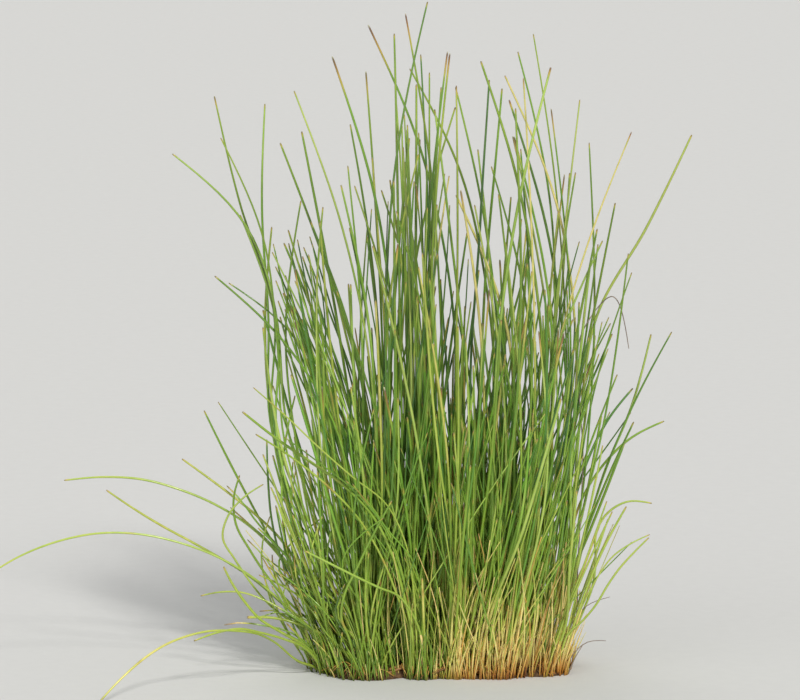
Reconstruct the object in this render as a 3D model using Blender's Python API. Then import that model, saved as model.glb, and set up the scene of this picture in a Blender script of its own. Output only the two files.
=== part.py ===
# Dwarf hairgrass: a dense clump of hair-thin upright culms, the leafless green stems of the plant.
# They grow in tufts from a low crown of rhizomes and old stem bases, cut off flat at ground level.
# X runs to the right, Y away from the viewer and Z up, from the centre of the crown's cut face.

import math
import random

import bpy
import numpy as np
from mathutils import noise

# The tufts stand on a rounded, nearly oblong patch of ground.
PATCH_CENTRE_X = -0.001
PATCH_HALF_WIDTH = 0.0285
PATCH_HALF_DEPTH = 0.0182
PATCH_SQUARENESS = 3.0

# The crown is a thin mat that reaches just past the outermost feet. Its rim is a row of stem bases.
CROWN_THICKNESS = 0.003
CROWN_MARGIN = 0.0010
CROWN_RIM_ROUNDNESS = 0.0070
CROWN_RIM_STEPS = 80
CROWN_RIM_RELIEF = 0.0003
CROWN_TOP_RELIEF = 0.0010

# A tuft's culms stand in a ring on one foot, each in a sheath that narrows to the culm.
SEAT_GAP = 0.0003
TUFT_SPACING = 0.0064
TUFT_JITTER = 0.0004
TUFT_RADIUS = 0.0025
TUFT_FOOT_HEIGHT = 0.0012
TUFT_CULMS = 9
SHEATH_LENGTH = 0.005
SHEATH_RADIUS = 0.0009

# A culm is as thick as a stout hair, and its length varies a good deal.
CULM_RADIUS = 0.00031
CULM_CLEARANCE = 0.00008
MEAN_HEIGHT = 0.086
HEIGHT_SPREAD = 0.022
LEAST_HEIGHT = 0.040
MOST_HEIGHT = 0.132
LONG_CULM = 0.070
SHOOT_HEIGHT = 0.016
BUD_HEIGHT = 0.001

# Culms lean out from the middle, most at the left, and each strays from that by a spread.
# Wayward ones stray more and stay shorter.
LEFT_LEAN = 0.42
RIGHT_LEAN = 0.34
DEPTH_LEAN = 0.25
LEAN_SPREAD = 0.12
TIP_LEAN = -0.01
TIP_LEAN_SPREAD = 0.19
WAYWARD_CHANCE = 0.16
WAYWARD_SPREAD = 2.4
WAYWARD_HEIGHT = 0.8

# The outlying tufts at either side are filled up with shorter culms that spread outward,
# and the one in front with young shoots.
SIDE_TUFT_REACH = 0.020
LOW_LEAN_LEAST = 0.05
LOW_LEAN_MOST = 0.50
LOW_REACH_LEAST = 0.030
LOW_REACH_MOST = 0.058

# Only the culms read from the front reach past these sides of the clump.
CLUMP_LEFT = -0.046
CLUMP_RIGHT = 0.042
CLUMP_DEPTH = 0.034

# The clump parts a little right of its middle, where the dark shows between two groups.
PARTING_LEFT = -0.0005
PARTING_RIGHT = 0.0070
PARTING_BOTTOM = 0.076
PARTING_CHANCE = 0.8

# Culms are read from the front by an eye that looks down by this angle.
VIEW_TILT = math.radians(8)

# No culm of a regular tuft strays farther than this from the rest of its tuft.
STRAY_LIMIT = 0.0150
STRAY_LEVELS = np.arange(0.020, 0.152, 0.004)

RANDOM_SEED = 14
TRIES = 60
DEPTH_TRIES = 12

# Culms at the clump's outline and those that stand out in front, each from its foot to its tip
# as (across, up) seen from the front. The first point only picks the tuft it grows in.
LEFT_CULMS = [
    [(-0.028, 0), (-0.037, 0.045), (-0.041, 0.093), (-0.0465, 0.1025), (-0.0615, 0.1165)],
    [(-0.029, 0), (-0.038, 0.045), (-0.0405, 0.092), (-0.0485, 0.111), (-0.052, 0.1295)],
    [(-0.026, 0), (-0.036, 0.050), (-0.0405, 0.096), (-0.0455, 0.109), (-0.0505, 0.120)],
    [(-0.030, 0), (-0.039, 0.050), (-0.0405, 0.093), (-0.0425, 0.1195), (-0.041, 0.1285)],
    [(-0.012, 0), (-0.0215, 0.075), (-0.0325, 0.106), (-0.0375, 0.1195)],
    [(-0.014, 0), (-0.020, 0.087), (-0.027, 0.112), (-0.034, 0.1305)],
    [(-0.010, 0), (-0.0155, 0.1045), (-0.020, 0.123), (-0.0255, 0.1385)],
    [(-0.012, 0), (-0.015, 0.094), (-0.017, 0.120), (-0.018, 0.136)],
    [(-0.001, 0), (-0.003, 0.110), (-0.0125, 0.1355), (-0.0175, 0.1465)],
    [(-0.009, 0), (-0.011, 0.1195), (-0.0115, 0.1435)],
    [(-0.013, 0), (-0.017, 0.097), (-0.0215, 0.1235)],
    [(-0.018, 0), (-0.020, 0.094), (-0.022, 0.114)],
    [(-0.014, 0), (-0.020, 0.095), (-0.0235, 0.1095)],
    [(-0.005, 0), (-0.0135, 0.0875), (-0.0205, 0.1095)],
    [(-0.007, 0), (-0.012, 0.1025), (-0.0145, 0.109)],
    [(-0.008, 0), (-0.0115, 0.1055), (-0.0125, 0.111)],
    [(-0.025, 0), (-0.029, 0.0825), (-0.0285, 0.098), (-0.0275, 0.1045)],
    [(-0.028, 0), (-0.0355, 0.089), (-0.0325, 0.106)],
    [(-0.030, 0), (-0.039, 0.055), (-0.0405, 0.091), (-0.0395, 0.1005)],
    [(-0.021, 0), (-0.0295, 0.079), (-0.0355, 0.0995)],
    [(-0.022, 0), (-0.033, 0.073), (-0.037, 0.0825), (-0.049, 0.0875)],
    [(-0.019, 0), (-0.035, 0.0725), (-0.043, 0.080), (-0.052, 0.089)],
    [(-0.026, 0), (-0.036, 0.060), (-0.0415, 0.0815)],
    [(-0.026, 0), (-0.036, 0.055), (-0.0415, 0.093), (-0.0465, 0.103)],
    [(-0.016, 0), (-0.028, 0.096), (-0.0305, 0.1015)],
    [(-0.018, 0), (-0.0215, 0.0795), (-0.022, 0.0875)],
    [(-0.029, 0), (-0.037, 0.050), (-0.041, 0.0775)],
]
RIGHT_CULMS = [
    [(-0.008, 0), (-0.0095, 0.1255), (-0.007, 0.138), (-0.004, 0.1505)],
    [(-0.001, 0), (-0.0035, 0.115), (-0.006, 0.1325), (-0.009, 0.1485)],
    [(-0.003, 0), (-0.0045, 0.123), (-0.0055, 0.1395)],
    [(-0.004, 0), (-0.0035, 0.1285), (-0.0035, 0.1355)],
    [(-0.005, 0), (-0.0025, 0.116), (0.0005, 0.1395)],
    [(-0.002, 0), (0, 0.1315), (0.001, 0.139)],
    [(0.012, 0), (0.0085, 0.1055), (0.005, 0.1215), (0.0025, 0.1325)],
    [(0.001, 0), (0.003, 0.1075), (0.0035, 0.123), (0.0025, 0.132)],
    [(-0.005, 0), (-0.0025, 0.1125), (0.0025, 0.128)],
    [(0.022, 0), (0.018, 0.1035), (0.013, 0.123), (0.008, 0.1375)],
    [(0.007, 0), (0.008, 0.102), (0.010, 0.117), (0.010, 0.1335)],
    [(0.028, 0), (0.024, 0.110), (0.019, 0.1235), (0.0135, 0.1345)],
    [(0.027, 0), (0.024, 0.096), (0.020, 0.111), (0.0145, 0.129)],
    [(0.021, 0), (0.017, 0.116), (0.0155, 0.1205)],
    [(0.023, 0), (0.023, 0.1135), (0.0205, 0.130), (0.0165, 0.140)],
    [(0.017, 0), (0.0185, 0.1195), (0.0175, 0.1335)],
    [(0.025, 0), (0.025, 0.111), (0.0225, 0.1285), (0.020, 0.144)],
    [(0.010, 0), (0.015, 0.098), (0.020, 0.1215), (0.0235, 0.1355)],
    [(0.027, 0), (0.027, 0.1035), (0.024, 0.127)],
    [(0.026, 0), (0.0275, 0.1025), (0.0305, 0.129)],
    [(0.025, 0), (0.0275, 0.1015), (0.0295, 0.1125)],
    [(0.021, 0), (0.0265, 0.077), (0.033, 0.0985), (0.042, 0.1215)],
    [(0.023, 0), (0.030, 0.086), (0.0355, 0.097)],
    [(0.028, 0), (0.033, 0.0805), (0.035, 0.0965)],
    [(0.026, 0), (0.0325, 0.092), (0.034, 0.0995)],
    [(0.024, 0), (0.029, 0.0925), (0.0305, 0.097)],
    [(0.029, 0), (0.0365, 0.0725), (0.0425, 0.090)],
    [(0.016, 0), (0.014, 0.0915), (0.012, 0.1075)],
    [(0.018, 0), (0.0145, 0.1015), (0.0105, 0.114)],
    [(0.008, 0), (0.0085, 0.111), (0.0075, 0.118)],
    [(-0.004, 0), (-0.001, 0.1075), (0, 0.1125)],
    [(-0.003, 0), (-0.001, 0.101), (0.001, 0.112)],
    [(0.017, 0), (0.011, 0.089), (0.0025, 0.1075)],
    [(0.009, 0), (0.0065, 0.091), (0.0035, 0.1085)],
    [(0.012, 0), (0.010, 0.0835), (0.006, 0.1065), (-0.001, 0.123), (-0.008, 0.1365)],
    [(-0.007, 0), (-0.0065, 0.1065), (-0.0065, 0.1325)],
    [(-0.010, 0), (-0.0095, 0.1065), (-0.011, 0.128)],
    [(-0.011, 0), (-0.0085, 0.1075), (-0.006, 0.1165)],
    [(-0.008, 0), (-0.0085, 0.098), (-0.0095, 0.118)],
    [(-0.006, 0), (-0.008, 0.095), (-0.007, 0.1105)],
]

# Culms that arch or lean far out of the clump: the foot's place on the crown, the depth of
# the tip, and the route as (across, up) seen from the front, from above the sheath to the tip.
OUTLYING_CULMS = {
    "long_left_culm": ((-0.0285, -0.0065), -0.018, [
        (-0.0355, 0.0135), (-0.0455, 0.022), (-0.058, 0.028), (-0.076, 0.031),
        (-0.0955, 0.026), (-0.1045, 0.0205)]),
    "flat_left_culm": ((-0.0285, 0.0085), 0.004, [
        (-0.036, 0.0225), (-0.046, 0.033), (-0.057, 0.039), (-0.071, 0.043), (-0.087, 0.0425)]),
    "spreading_left_culm": ((-0.0305, 0.0025), -0.004, [
        (-0.0445, 0.0205), (-0.056, 0.0275), (-0.0675, 0.034), (-0.077, 0.0405)]),
    "hooked_culm": ((-0.0300, -0.0035), -0.014, [
        (-0.0385, 0.013), (-0.0465, 0.023), (-0.0505, 0.031), (-0.0465, 0.038), (-0.041, 0.042)]),
    "grounded_culm": ((-0.0240, -0.0150), -0.050, [
        (-0.038, 0.0055), (-0.0475, 0.0095), (-0.0605, 0.0075), (-0.0675, 0.0035), (-0.0775, -0.0065)]),
    "right_leaning_culm": ((-0.0205, -0.0165), -0.024, [
        (-0.0235, 0.0125), (-0.019, 0.025), (-0.012, 0.0385)]),
    "bent_right_culm": ((0.0280, -0.004), -0.008, [
        (0.034, 0.020), (0.0355, 0.0335), (0.040, 0.0375), (0.047, 0.0375)]),
    "curled_dead_culm": ((0.0280, 0.001), 0.006, [
        (0.0315, 0.045), (0.032, 0.079), (0.0345, 0.085), (0.039, 0.084), (0.0415, 0.080),
        (0.042, 0.0725)]),
    "long_right_culm": ((0.0275, 0.005), 0.016, [
        (0.0315, 0.060), (0.0345, 0.079), (0.045, 0.098), (0.0565, 0.1215)]),
}
OUTLYING_TUFTS = {
    "low_left_tuft": ((-0.0255, -0.0105), [
        (-0.020, [(-0.0375, 0.0085), (-0.0475, 0.0185), (-0.050, 0.0235)]),
        (-0.010, [(-0.037, 0.0135), (-0.0475, 0.0175), (-0.0555, 0.0165)]),
        (-0.030, [(-0.0365, 0.0055), (-0.0455, 0.0095), (-0.0565, 0.007)]),
        (-0.024, [(-0.036, 0.0075), (-0.043, 0.0105), (-0.050, 0.010)]),
        (-0.016, [(-0.0345, 0.0105), (-0.039, 0.0115), (-0.045, 0.0115)])]),
    "bowed_left_tuft": ((-0.0260, -0.0030), [
        (-0.009, [(-0.037, 0.0165), (-0.0435, 0.0255), (-0.048, 0.035), (-0.0465, 0.044)]),
        (-0.004, [(-0.034, 0.020), (-0.037, 0.0465), (-0.034, 0.062)]),
        (-0.006, [(-0.033, 0.018), (-0.035, 0.0365), (-0.0345, 0.047)]),
        (-0.010, [(-0.035, 0.022), (-0.0385, 0.037)]),
        (-0.002, [(-0.036, 0.022), (-0.0405, 0.052)])]),
    "spreading_left_tuft": ((-0.0255, 0.0045), [
        (0.002, [(-0.038, 0.0295), (-0.0425, 0.034), (-0.0525, 0.042), (-0.060, 0.0475)]),
        (0.007, [(-0.040, 0.0295), (-0.0475, 0.0435), (-0.055, 0.0585)]),
        (0.010, [(-0.034, 0.0305), (-0.0385, 0.052), (-0.040, 0.065)])]),
    "leaning_front_tuft": ((-0.006, -0.0150), [
        (-0.031, [(-0.014, 0.0385), (-0.023, 0.0455), (-0.0335, 0.0555), (-0.043, 0.064)]),
        (-0.027, [(-0.018, 0.0370), (-0.0345, 0.050), (-0.038, 0.0525), (-0.0455, 0.0585)]),
        (-0.029, [(-0.020, 0.0350), (-0.0335, 0.0475), (-0.0425, 0.0535)]),
        (-0.033, [(-0.0265, 0.0325), (-0.0345, 0.0375), (-0.0465, 0.044)]),
        (-0.035, [(-0.010, 0.0165), (-0.016, 0.0195), (-0.0315, 0.0275)])]),
    "low_right_tuft": ((0.0255, -0.0095), [
        (-0.014, [(0.0315, 0.0165), (0.036, 0.0275), (0.041, 0.037)]),
        (-0.010, [(0.033, 0.018), (0.038, 0.0255), (0.0465, 0.0305)]),
        (-0.018, [(0.0325, 0.0125), (0.0385, 0.022), (0.046, 0.030)]),
        (-0.008, [(0.0345, 0.0265), (0.037, 0.034)])]),
    "outer_right_tuft": ((0.0250, 0.011), [
        (0.018, [(0.038, 0.0475), (0.0445, 0.0635), (0.0475, 0.076)]),
        (0.012, [(0.036, 0.042), (0.0435, 0.0605), (0.052, 0.0765)]),
        (0.022, [(0.0325, 0.046), (0.0375, 0.056), (0.0435, 0.0635)]),
        (0.014, [(0.035, 0.044), (0.042, 0.0515), (0.0505, 0.056)]),
        (0.010, [(0.036, 0.040), (0.043, 0.056)])]),
}

GREENS = [(0.13, 0.27, 0.05), (0.10, 0.23, 0.04), (0.16, 0.30, 0.06), (0.20, 0.33, 0.08)]
DEAD_GREY = (0.16, 0.15, 0.16)
CROWN_BROWN = (0.17, 0.09, 0.035)

SHEATH_BOTTOM = CROWN_THICKNESS + SEAT_GAP
SHEATH_TOP = SHEATH_BOTTOM + TUFT_FOOT_HEIGHT + SHEATH_LENGTH


def clear_objects():
    for item in list(bpy.data.objects):
        bpy.data.objects.remove(item, do_unlink=True)


def make_object(name, vertices, faces, colour):
    mesh = bpy.data.meshes.new(name)
    mesh.from_pydata([tuple(vertex) for vertex in vertices], [], faces)
    material = bpy.data.materials.new(name)
    material.use_nodes = True
    shader = material.node_tree.nodes["Principled BSDF"]
    shader.inputs["Base Color"].default_value = (*colour, 1)
    shader.inputs["Roughness"].default_value = 0.5
    mesh.materials.append(material)
    result = bpy.data.objects.new(name, mesh)
    bpy.context.scene.collection.objects.link(result)
    return result


# A point read from the front lies at this place once its depth is known.
def placed(across, up, depth):
    return (across, depth, (up - depth * math.sin(VIEW_TILT)) / math.cos(VIEW_TILT))


# A smooth curve through the points, as evenly spaced samples of its parameter.
def smooth_route(points, segments):
    points = np.array(points)
    steps = np.linalg.norm(np.diff(points, axis=0), axis=1)
    slopes = np.diff(points, axis=0) / steps[:, None]
    tangents = np.empty_like(points)
    weights = (steps[1:] / (steps[1:] + steps[:-1]))[:, None]
    tangents[1:-1] = slopes[:-1] * weights + slopes[1:] * (1 - weights)
    tangents[0] = 1.5 * slopes[0] - 0.5 * tangents[1] if len(points) > 2 else slopes[0]
    tangents[-1] = 1.5 * slopes[-1] - 0.5 * tangents[-2] if len(points) > 2 else slopes[-1]
    knots = np.concatenate([[0], np.cumsum(steps)])
    route = []
    for place in np.linspace(0, knots[-1], segments + 1):
        index = min(int(np.searchsorted(knots, place, side="right")) - 1, len(steps) - 1)
        length = steps[index]
        t = (place - knots[index]) / length
        route.append(points[index] * (2 * t**3 - 3 * t**2 + 1)
                     + tangents[index] * length * (t**3 - 2 * t**2 + t)
                     + points[index + 1] * (3 * t**2 - 2 * t**3)
                     + tangents[index + 1] * length * (t**3 - t**2))
    return np.array(route)


# The least distance between each of one set of straight runs and each of another.
def run_distances(first_start, first_end, second_start, second_end):
    first = (first_end - first_start)[:, None]
    second = (second_end - second_start)[None]
    offset = first_start[:, None] - second_start[None]
    a = (first * first).sum(2)
    e = (second * second).sum(2)
    b = (first * second).sum(2)
    c = (first * offset).sum(2)
    f = (second * offset).sum(2)
    spread = np.maximum(a * e - b * b, 1e-18)
    s = np.clip((b * f - c * e) / spread, 0, 1)
    t = np.clip((b * s + f) / e, 0, 1)
    s = np.clip((b * t - c) / a, 0, 1)
    return np.linalg.norm(offset + first * s[..., None] - second * t[..., None], axis=2)


# The straight runs of every culm grown so far, to keep the next one clear of them.
class Thicket:
    def __init__(self):
        self.starts = np.empty((0, 3))
        self.ends = np.empty((0, 3))
        self.radii = np.empty(0)
        self.tufts = np.empty(0, int)

    def is_clear(self, route, radii, tuft):
        if not len(self.starts):
            return True
        gaps = run_distances(route[:-1], route[1:], self.starts, self.ends)
        gaps -= radii[:, None] + self.radii[None] + CULM_CLEARANCE
        sheaths = (radii[:, None] > CULM_RADIUS) | (self.radii[None] > CULM_RADIUS)
        gaps[sheaths & (self.tufts[None] == tuft)] = 1
        return gaps.min() > 0

    def add(self, route, radii, tuft):
        self.starts = np.concatenate([self.starts, route[:-1]])
        self.ends = np.concatenate([self.ends, route[1:]])
        self.radii = np.concatenate([self.radii, radii])
        self.tufts = np.concatenate([self.tufts, np.full(len(radii), tuft)])


# A tuft holds its foot's centre, its lean at the foot and a route for each place in its ring.
class Tuft:
    def __init__(self, name, number, centre, places):
        self.name = name
        self.number = number
        self.centre = np.array([centre[0], centre[1], SHEATH_BOTTOM + TUFT_FOOT_HEIGHT])
        across = (centre[0] - PATCH_CENTRE_X) / PATCH_HALF_WIDTH
        lean_x = across * (LEFT_LEAN * math.sqrt(-across) if across < 0 else RIGHT_LEAN)
        self.lean = (lean_x, DEPTH_LEAN * centre[1] / PATCH_HALF_DEPTH)
        self.outlying = name in OUTLYING_TUFTS
        self.places = places
        self.radius = TUFT_RADIUS if places > 1 else SHEATH_RADIUS
        self.routes = [None] * places

    # The middle of one culm's part of the foot, and the same point at the top of its sheath.
    def sheath(self, place):
        turn = 2 * math.pi * (place + 0.5) / self.places
        reach = self.radius * math.cos(math.pi / self.places) * 2 / 3 if self.places > 1 else 0
        bottom = self.centre + reach * np.array([math.cos(turn), math.sin(turn), 0])
        top = bottom + SHEATH_LENGTH * np.array([*self.lean, 1])
        return bottom, top

    def free_places(self):
        return [place for place in range(self.places) if self.routes[place] is None]

    # The free place whose middle lies nearest to a point seen from above.
    def nearest_place(self, target):
        return min(self.free_places(), key=lambda place: np.hypot(*(self.sheath(place)[0][:2] - target)))

    # Whether a culm stays near another of the tuft's at every level that both reach.
    def stays_near(self, route):
        def level_points(culm):
            points = [np.interp(STRAY_LEVELS, culm[:, 2], culm[:, side]) for side in (0, 1)]
            return np.where(STRAY_LEVELS < culm[-1, 2], points, np.nan)
        others = [level_points(other) for other in self.routes if other is not None]
        if not others:
            return True
        gaps = np.linalg.norm(np.array(others) - level_points(route), axis=1)
        nearest = np.where(np.isnan(gaps), np.inf, gaps).min(axis=0)
        return not np.any(np.isfinite(nearest) & (nearest > STRAY_LIMIT))

    def grow(self, thicket, place, points, segments):
        bottom, top = self.sheath(place)
        route = np.concatenate([[bottom], smooth_route([top, *points], segments)])
        radii = np.full(len(route) - 1, CULM_RADIUS)
        radii[0] = SHEATH_RADIUS
        if route[:, 2].min() < CULM_RADIUS / 2 or not thicket.is_clear(route, radii, self.number):
            return False
        if not self.outlying and not self.stays_near(route):
            return False
        thicket.add(route, radii, self.number)
        self.routes[place] = route
        return True


def on_patch(x, y):
    across = abs(x - PATCH_CENTRE_X) / (PATCH_HALF_WIDTH - TUFT_RADIUS)
    along = abs(y) / (PATCH_HALF_DEPTH - TUFT_RADIUS)
    return across**PATCH_SQUARENESS + along**PATCH_SQUARENESS < 1


# Feet of the regular tufts, on a slightly uneven grid of triangles that leaves the outlying feet clear.
def regular_feet(taken, rng):
    feet = []
    row_step = TUFT_SPACING * math.sqrt(3) / 2
    rows = int(PATCH_HALF_DEPTH / row_step) + 1
    columns = int(PATCH_HALF_WIDTH / TUFT_SPACING) + 1
    for row in range(-rows, rows + 1):
        for column in range(-columns, columns + 1):
            x = PATCH_CENTRE_X + (column + 0.5 * (row % 2)) * TUFT_SPACING
            y = (row + 0.5) * row_step
            x += rng.uniform(-TUFT_JITTER, TUFT_JITTER)
            y += rng.uniform(-TUFT_JITTER, TUFT_JITTER)
            clear = all(math.hypot(x - other[0], y - other[1]) > TUFT_RADIUS + reach
                        for other, reach in taken)
            if clear and on_patch(x, y):
                feet.append((x, y))
    return feet


# A culm read from the front, whose tip may lie nearer or farther until it is clear of the rest.
def grow_seen_culm(thicket, tuft, place, seen, tip_depth, rng):
    foot_depth = tuft.sheath(place)[1][1]
    top = seen[-1][1]
    for attempt in range(TRIES):
        reach = tip_depth + rng.gauss(0, 0.0004 + 0.0001 * attempt)
        points = []
        for index, (across, up) in enumerate(seen):
            share = up / top if top > LONG_CULM else (index + 1) / len(seen)
            points.append(placed(across, up, foot_depth + (reach - foot_depth) * share))
        if tuft.grow(thicket, place, points, len(seen) + (1 if top > LONG_CULM else 3)):
            return True
    return False


# A culm that leans one way at its foot and another at its tip, and bends evenly in between.
# Its slope to the side is drawn first, then its slope in depth until it is clear of the rest.
def grow_leaning_culm(thicket, tuft, place, height, lean_x, tip_x, depth_spread, rng):
    bottom, top = tuft.sheath(place)
    outward = (bottom[1] - tuft.centre[1]) / TUFT_RADIUS
    for attempt in range(DEPTH_TRIES):
        lean_y = tuft.lean[1] + 0.08 * outward + rng.gauss(0, depth_spread)
        tip_y = 0.15 * lean_y + rng.gauss(0, TIP_LEAN_SPREAD)
        middle = top + height / 2 * np.array([0.75 * lean_x + 0.25 * tip_x, 0.75 * lean_y + 0.25 * tip_y, 1])
        tip = top + height * np.array([0.5 * (lean_x + tip_x), 0.5 * (lean_y + tip_y), 1])
        if abs(tip[1]) < CLUMP_DEPTH and tuft.grow(thicket, place, [middle, tip], 2):
            return True
    return False


def grow_upright_culm(thicket, tuft, place, rng):
    for attempt in range(TRIES):
        height = rng.gauss(MEAN_HEIGHT, HEIGHT_SPREAD)
        spread = LEAN_SPREAD
        if rng.random() < WAYWARD_CHANCE:
            height *= WAYWARD_HEIGHT
            spread *= WAYWARD_SPREAD
        height = min(max(height, LEAST_HEIGHT), MOST_HEIGHT) - SHEATH_TOP
        lean_x = tuft.lean[0] + rng.gauss(0, spread)
        tip_x = TIP_LEAN + 0.15 * lean_x + rng.gauss(0, TIP_LEAN_SPREAD)
        tip_across = tuft.centre[0] + height * (lean_x + tip_x) / 2
        parted = PARTING_LEFT < tip_across < PARTING_RIGHT and height > PARTING_BOTTOM
        if not CLUMP_LEFT < tip_across < CLUMP_RIGHT or parted and rng.random() < PARTING_CHANCE:
            continue
        if grow_leaning_culm(thicket, tuft, place, height, lean_x, tip_x, LEAN_SPREAD, rng):
            return
    grow_shoot(thicket, tuft, place, rng)


def grow_low_culm(thicket, tuft, place, rng):
    for attempt in range(TRIES):
        side = 1 if tuft.centre[0] > 0 else -1
        lean_x = side * rng.uniform(LOW_LEAN_LEAST, LOW_LEAN_MOST)
        tip_x = lean_x * rng.uniform(0.6, 1.5)
        reach = rng.uniform(LOW_REACH_LEAST, LOW_REACH_MOST) - SHEATH_TOP
        height = reach / math.hypot(1, (lean_x + tip_x) / 2)
        if grow_leaning_culm(thicket, tuft, place, height, lean_x, tip_x, 2 * LEAN_SPREAD, rng):
            return
    grow_shoot(thicket, tuft, place, rng)


# A young shoot, short and straight, that fills a place in the ring. With no room it stays a bud.
def grow_shoot(thicket, tuft, place, rng):
    bottom, top = tuft.sheath(place)
    for attempt in range(TRIES):
        height = SHOOT_HEIGHT * rng.uniform(0.4, 1)
        lean = [side + rng.gauss(0, 0.05) for side in tuft.lean]
        if tuft.grow(thicket, place, [top + height * np.array([*lean, 1])], 1):
            return
    tuft.routes[place] = np.array([bottom, bottom + [0, 0, BUD_HEIGHT]])


def grow_outlying(thicket, rng):
    tufts = []
    for name, (centre, tip_depth, seen) in OUTLYING_CULMS.items():
        tuft = Tuft(name, len(tufts), centre, 1)
        grow_seen_culm(thicket, tuft, 0, seen, tip_depth, rng)
        tufts.append(tuft)
    for name, (centre, culms) in OUTLYING_TUFTS.items():
        tuft = Tuft(name, len(tufts), centre, TUFT_CULMS)
        for tip_depth, seen in culms:
            place = tuft.nearest_place((seen[0][0], tip_depth))
            grow_seen_culm(thicket, tuft, place, seen, tip_depth, rng)
        tufts.append(tuft)
    return tufts


# Each outline culm goes to the tuft whose foot is nearest across, spread over the tufts' depths.
def grow_outline(thicket, tufts, rng):
    for seen in LEFT_CULMS + RIGHT_CULMS:
        def crowding(tuft):
            used = tuft.places - len(tuft.free_places())
            return abs(tuft.centre[0] - seen[0][0]) + 0.0025 * used
        for tuft in sorted(tufts, key=crowding)[:6]:
            tip_depth = tuft.centre[1] * rng.uniform(0.8, 1.5)
            place = tuft.nearest_place((seen[1][0], tip_depth))
            if grow_seen_culm(thicket, tuft, place, seen[1:], tip_depth, rng):
                break
        else:
            print("no room for the culm that ends at", seen[-1])


def grow_clump():
    rng = random.Random(RANDOM_SEED)
    thicket = Thicket()
    tufts = grow_outlying(thicket, rng)
    taken = [(tuft.centre, tuft.radius + SEAT_GAP) for tuft in tufts]
    regular = []
    for number, foot in enumerate(regular_feet(taken, rng)):
        regular.append(Tuft(f"tuft_{number + 1:02d}", len(tufts) + number, foot, TUFT_CULMS))
    grow_outline(thicket, regular, rng)
    for tuft in regular:
        for place in tuft.free_places():
            grow_upright_culm(thicket, tuft, place, rng)
    for tuft in tufts:
        grow = grow_low_culm if abs(tuft.centre[0]) > SIDE_TUFT_REACH else grow_shoot
        for place in tuft.free_places():
            grow(thicket, tuft, place, rng)
    return tufts + regular


# Three-sided rings up a culm, from the top of its sheath to the last one below its tip.
def add_culm(vertices, faces, base, route, outward):
    below = base
    side = outward
    for index in range(1, len(route) - 1):
        along = route[index + 1] - route[index - 1]
        along /= np.linalg.norm(along)
        side = side - along * np.dot(side, along)
        side /= np.linalg.norm(side)
        across = np.cross(along, side)
        ring = []
        for turn in (math.pi, -math.pi / 3, math.pi / 3):
            ring.append(len(vertices))
            vertices.append(route[index] + CULM_RADIUS * (math.cos(turn) * side + math.sin(turn) * across))
        for corner in range(3):
            following = (corner + 1) % 3
            faces.append((below[corner], below[following], ring[following], ring[corner]))
        below = ring
    tip = len(vertices)
    vertices.append(route[-1])
    for corner in range(3):
        faces.append((below[corner], below[(corner + 1) % 3], tip))


# The foot is a short many-sided disc whose top is parted into one triangle for each culm.
def make_tuft(tuft, colour):
    sides = tuft.places
    below = np.array([0, 0, TUFT_FOOT_HEIGHT])
    vertices = [tuft.centre - below, tuft.centre]
    for place in range(sides):
        turn = 2 * math.pi * place / sides
        rim = tuft.centre + tuft.radius * np.array([math.cos(turn), math.sin(turn), 0])
        vertices.append(rim - below)
        vertices.append(rim)
    faces = []
    for place in range(sides):
        turn = 2 * math.pi * (place + 0.5) / sides
        here = 2 + 2 * place
        following = 2 + 2 * ((place + 1) % sides)
        faces.append((0, following, here))
        faces.append((here, following, following + 1, here + 1))
        outward = np.array([math.cos(turn), math.sin(turn), 0])
        add_culm(vertices, faces, (1, here + 1, following + 1), tuft.routes[place], outward)
    return make_object(tuft.name, vertices, faces, colour)


# A culm that stands alone rises from a three-sided sheath.
def make_single_culm(tuft, colour):
    vertices = []
    for height in (-TUFT_FOOT_HEIGHT, 0):
        for turn in (math.pi, -math.pi / 3, math.pi / 3):
            rim = np.array([SHEATH_RADIUS * math.cos(turn), SHEATH_RADIUS * math.sin(turn), height])
            vertices.append(tuft.centre + rim)
    faces = [(2, 1, 0)]
    for corner in range(3):
        following = (corner + 1) % 3
        faces.append((corner, following, following + 3, corner + 3))
    add_culm(vertices, faces, (3, 4, 5), tuft.routes[0], np.array([1, 0, 0]))
    return make_object(tuft.name, vertices, faces, colour)


# How far the crown's rim lies from its middle: past the outermost foot that way.
def crown_reach(turn, tufts):
    reach = 0
    for tuft in tufts:
        x = tuft.centre[0] - PATCH_CENTRE_X
        y = tuft.centre[1]
        along = x * math.cos(turn) + y * math.sin(turn)
        aside = y * math.cos(turn) - x * math.sin(turn)
        if abs(aside) < CROWN_RIM_ROUNDNESS:
            bulge = math.sqrt(CROWN_RIM_ROUNDNESS**2 - aside**2) - CROWN_RIM_ROUNDNESS
            reach = max(reach, along + bulge + tuft.radius + CROWN_MARGIN)
    return reach


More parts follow.
